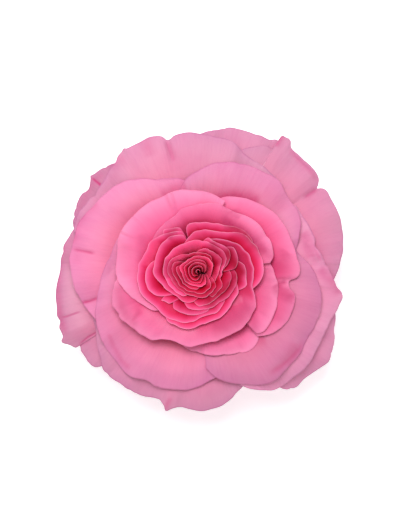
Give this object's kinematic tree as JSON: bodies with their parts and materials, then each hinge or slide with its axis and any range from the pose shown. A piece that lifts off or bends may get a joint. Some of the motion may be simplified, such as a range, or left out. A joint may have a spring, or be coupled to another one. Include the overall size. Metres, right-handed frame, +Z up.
{
  "type": "rose bloom",
  "caption": "Fully open pink garden rose bloom with crowded overlapping petals, cut under the hip and resting upright on its cut end and bent-back sepals.",
  "frame": {"origin": "middle of the bloom's outline, on the surface that it rests on", "axes": "+Z up, out of the flower's face; +X along the bloom's widest spread"},
  "size_m": [0.1151, 0.1132, 0.0484],
  "materials": {
    "petal_outer": "matte",
    "petal_second": "matte",
    "petal_third": "matte",
    "petal_heart": "matte",
    "hip_green": "satin",
    "sepal_green": "matte"
  },
  "bodies": {
    "root": {"petal_heart_01": "petal_heart", "petal_heart_02": "petal_heart", "petal_heart_03": "petal_heart", "petal_heart_04": "petal_heart", "petal_heart_05": "petal_heart", "petal_heart_06": "petal_heart", "petal_heart_07": "petal_heart", "petal_heart_08": "petal_heart", "petal_heart_09": "petal_heart", "petal_heart_10": "petal_heart", "petal_heart_11": "petal_heart", "petal_heart_12": "petal_heart", "petal_heart_13": "petal_heart", "petal_heart_14": "petal_heart", "petal_heart_15": "petal_heart", "petal_heart_16": "petal_heart", "petal_heart_17": "petal_heart", "petal_heart_18": "petal_heart", "petal_heart_19": "petal_heart", "petal_heart_20": "petal_heart", "petal_heart_21": "petal_heart", "petal_heart_22": "petal_heart", "petal_heart_23": "petal_heart", "petal_heart_24": "petal_heart", "petal_heart_25": "petal_heart", "petal_outer_1": "petal_outer", "petal_outer_2": "petal_outer", "petal_outer_3": "petal_outer", "petal_outer_4": "petal_outer", "petal_outer_5": "petal_outer", "petal_outer_6": "petal_outer", "petal_outer_7": "petal_outer", "petal_outer_8": "petal_outer", "petal_second_1": "petal_second", "petal_second_2": "petal_second", "petal_second_3": "petal_second", "petal_second_4": "petal_second", "petal_third_1": "petal_third", "petal_third_2": "petal_third", "petal_third_3": "petal_third", "petal_third_4": "petal_third", "petal_third_5": "petal_third", "petal_third_6": "petal_third", "receptacle": "hip_green", "sepal_1": "sepal_green", "sepal_2": "sepal_green", "sepal_3": "sepal_green", "sepal_4": "sepal_green", "sepal_5": "sepal_green"}
  },
  "joints": []
}
